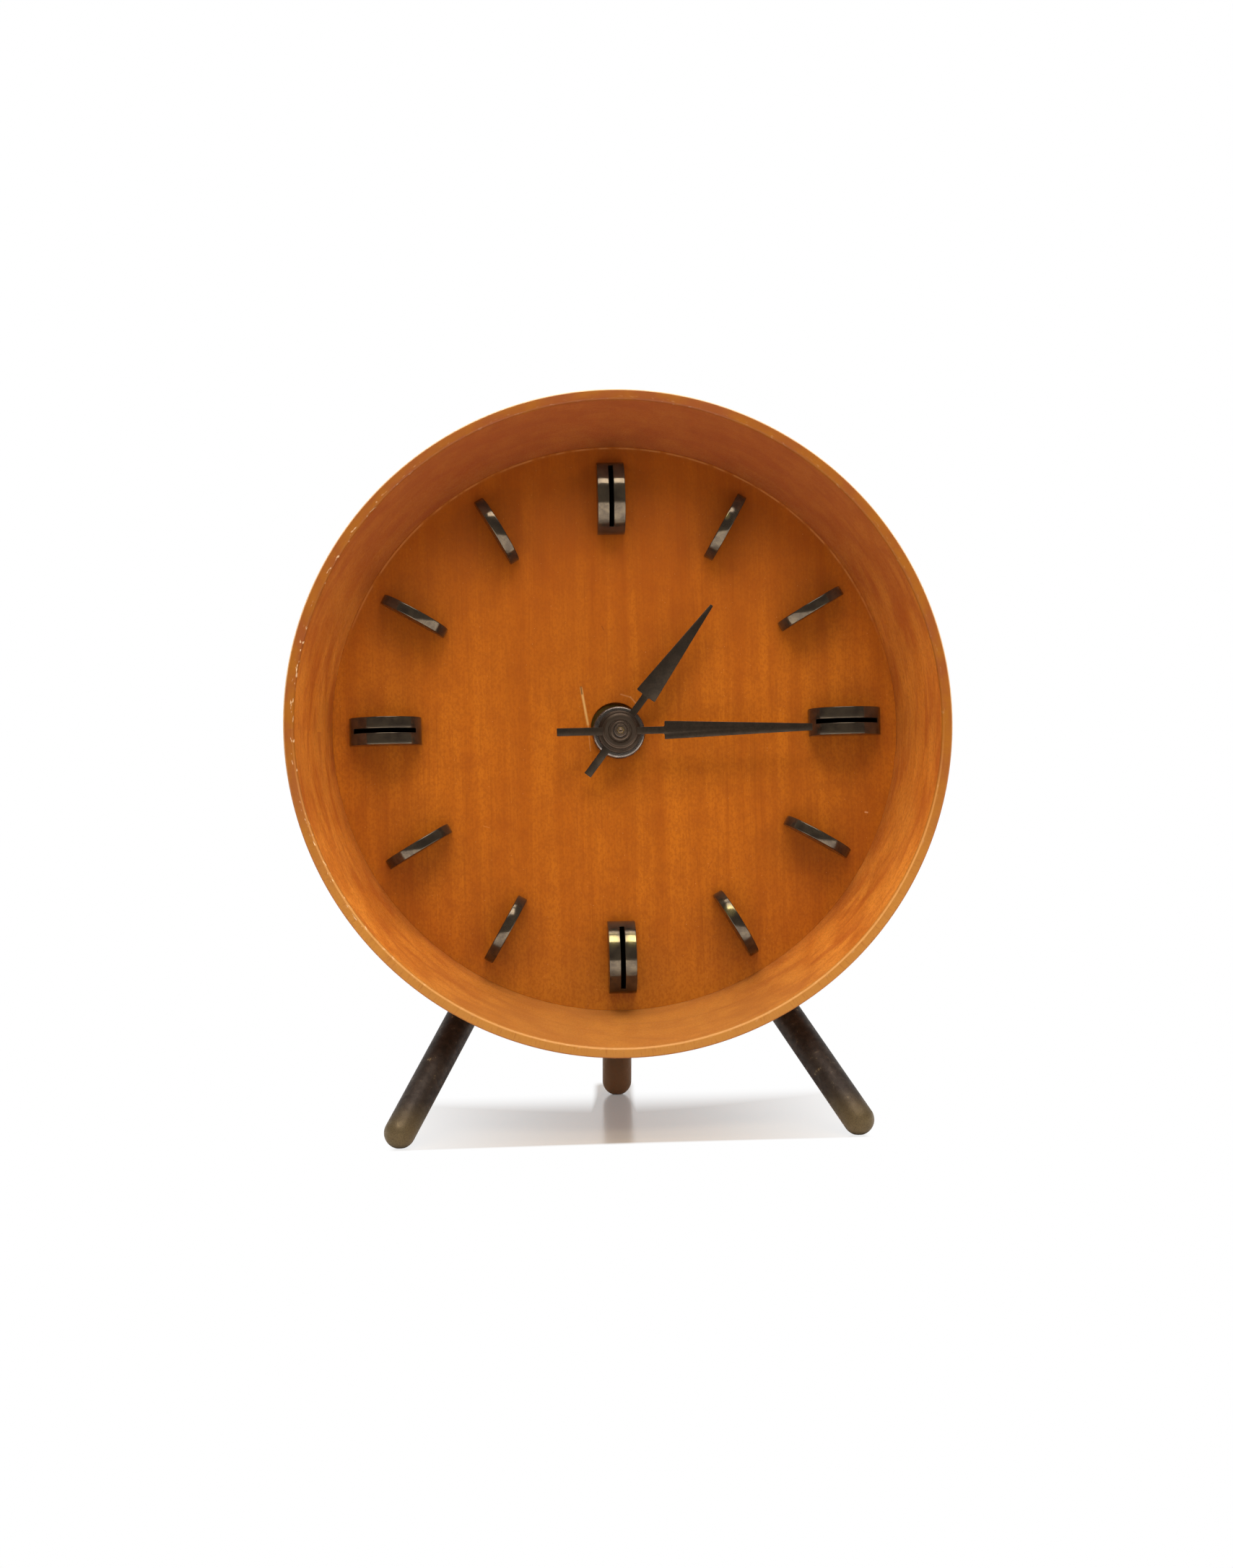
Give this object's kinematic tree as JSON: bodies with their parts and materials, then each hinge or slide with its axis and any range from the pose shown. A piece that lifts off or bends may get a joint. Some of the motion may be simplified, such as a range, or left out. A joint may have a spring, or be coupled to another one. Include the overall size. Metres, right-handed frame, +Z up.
{
  "type": "desk clock",
  "caption": "Round wooden bowl clock leaning back on three bronze legs, with a recessed dial, arched bronze hour markers, two hands and a key-wound movement.",
  "frame": {"origin": "middle of the clock's overall box on the surface it stands on", "axes": "+X to the right seen from the front, +Y from the front to the back, +Z up"},
  "size_m": [0.1498, 0.081, 0.167],
  "materials": {
    "bowl_wood": "turned, stained and satin lacquered wood",
    "dial_wood": "flat dial board, satin lacquered",
    "marker_bronze": "dark patinated bronze",
    "hand_bronze": "oxidised dark brown bronze",
    "leg_bronze": "patinated bronze rod, worn at the tips",
    "black_steel": "blackened steel",
    "plate_brass": "brushed brass",
    "wheel_brass": "polished brass",
    "steel": "polished steel",
    "blue_steel": "blued spring steel",
    "key_brass": "satin brass",
    "cover_metal": "lacquered sheet brass"
  },
  "bodies": {
    "clock_frame": {"back_cover": "cover_metal", "back_plate": "plate_brass", "balance_cock": "plate_brass", "case": "bowl_wood", "click_spring": "blue_steel", "cover_screw_1": "plate_brass", "cover_screw_2": "plate_brass", "cover_screw_3": "plate_brass", "dial": "dial_wood", "fixing_nut": "black_steel", "front_plate": "plate_brass", "hairspring": "blue_steel", "hour_marker_01": "marker_bronze", "hour_marker_02": "marker_bronze", "hour_marker_03": "marker_bronze", "hour_marker_04": "marker_bronze", "hour_marker_05": "marker_bronze", "hour_marker_06": "marker_bronze", "hour_marker_07": "marker_bronze", "hour_marker_08": "marker_bronze", "hour_marker_09": "marker_bronze", "hour_marker_10": "marker_bronze", "hour_marker_11": "marker_bronze", "hour_marker_12": "marker_bronze", "left_leg": "leg_bronze", "mounting_plate": "plate_brass", "movement_pillar_1": "plate_brass", "movement_pillar_2": "plate_brass", "movement_pillar_3": "plate_brass", "movement_pillar_4": "plate_brass", "rear_leg": "leg_bronze", "right_leg": "leg_bronze"},
    "minute_arbor": {"centre_arbor": "wheel_brass", "cannon_pinion": "steel", "minute_hand": "hand_bronze", "setting_knob": "key_brass"},
    "hour_pipe": {"hour_wheel": "wheel_brass", "hour_hand": "hand_bronze"},
    "minute_wheel": {"minute_wheel": "wheel_brass"},
    "intermediate_wheel": {"intermediate_wheel": "wheel_brass"},
    "going_barrel": {"mainspring_barrel": "wheel_brass", "barrel_cover": "wheel_brass", "mainspring": "blue_steel"},
    "third_wheel": {"third_wheel": "wheel_brass"},
    "fourth_wheel": {"fourth_wheel": "wheel_brass"},
    "escape_wheel": {"escape_wheel": "steel"},
    "winding_arbor": {"barrel_arbor": "steel", "ratchet_wheel": "steel", "winding_key": "key_brass"},
    "click": {"click": "steel"},
    "pallet_lever": {"pallet_lever": "steel"},
    "balance": {"balance_wheel": "wheel_brass"},
    "regulator": {"regulator": "steel"}
  },
  "joints": [
    {"name": "minute_arbor_turn", "type": "hinge", "parent": "clock_frame", "child": "minute_arbor", "pos_m": [0.0006, 0.00659, 0.08764], "axis": [0, 0.9942, -0.108], "continuous": true},
    {"name": "hour_pipe_turn", "type": "hinge", "parent": "clock_frame", "child": "hour_pipe", "pos_m": [0.0006, -0.00527, 0.08893], "axis": [0, 0.9942, -0.108], "continuous": true},
    {"name": "minute_wheel_turn", "type": "hinge", "parent": "clock_frame", "child": "minute_wheel", "pos_m": [0.00556, 0.00184, 0.07951], "axis": [0, 0.9942, -0.108], "continuous": true},
    {"name": "intermediate_wheel_turn", "type": "hinge", "parent": "clock_frame", "child": "intermediate_wheel", "pos_m": [0.00181, 0.01039, 0.07619], "axis": [0, 0.9942, -0.108], "continuous": true},
    {"name": "going_barrel_turn", "type": "hinge", "parent": "clock_frame", "child": "going_barrel", "pos_m": [-0.01354, 0.00996, 0.07305], "axis": [0, 0.9942, -0.108], "continuous": true},
    {"name": "third_wheel_turn", "type": "hinge", "parent": "clock_frame", "child": "third_wheel", "pos_m": [0.00945, 0.01231, 0.09325], "axis": [0, 0.9942, -0.108], "continuous": true},
    {"name": "fourth_wheel_turn", "type": "hinge", "parent": "clock_frame", "child": "fourth_wheel", "pos_m": [0.006, 0.01308, 0.1006], "axis": [0, 0.9942, -0.108], "continuous": true},
    {"name": "escape_wheel_turn", "type": "hinge", "parent": "clock_frame", "child": "escape_wheel", "pos_m": [-0.00145, 0.01328, 0.1019], "axis": [0, 0.9942, -0.108], "continuous": true},
    {"name": "winding_turn", "type": "hinge", "parent": "clock_frame", "child": "winding_arbor", "pos_m": [-0.01354, 0.01674, 0.07231], "axis": [0, 0.9942, -0.108], "range_deg": [0, 1440]},
    {"name": "click_lift", "type": "hinge", "parent": "clock_frame", "child": "click", "pos_m": [-0.00297, 0.01761, 0.06848], "axis": [0, 0.9942, -0.108], "range_deg": [0, 12], "stiffness_Nm_per_rad": 0.0002, "springref_deg": -11.46},
    {"name": "lever_swing", "type": "hinge", "parent": "clock_frame", "child": "pallet_lever", "pos_m": [-0.00697, 0.01323, 0.10142], "axis": [0, 0.9942, -0.108], "range_deg": [-8, 8]},
    {"name": "balance_swing", "type": "hinge", "parent": "clock_frame", "child": "balance", "pos_m": [-0.01355, 0.01505, 0.09882], "axis": [0, 0.9942, -0.108], "range_deg": [-270, 270], "stiffness_Nm_per_rad": 0.0000035},
    {"name": "regulator_turn", "type": "hinge", "parent": "clock_frame", "child": "regulator", "pos_m": [-0.01355, 0.02467, 0.09777], "axis": [0, 0.9942, -0.108], "range_deg": [-25, 25]}
  ],
  "couplings": [
    {"joint": "hour_pipe_turn", "follows": "minute_arbor_turn", "ratio": 0.083333},
    {"joint": "minute_wheel_turn", "follows": "minute_arbor_turn", "ratio": -0.33333},
    {"joint": "intermediate_wheel_turn", "follows": "minute_arbor_turn", "ratio": -0.2},
    {"joint": "going_barrel_turn", "follows": "minute_arbor_turn", "ratio": 0.033333},
    {"joint": "third_wheel_turn", "follows": "minute_arbor_turn", "ratio": -8},
    {"joint": "fourth_wheel_turn", "follows": "minute_arbor_turn", "ratio": 60},
    {"joint": "escape_wheel_turn", "follows": "minute_arbor_turn", "ratio": -480}
  ]
}
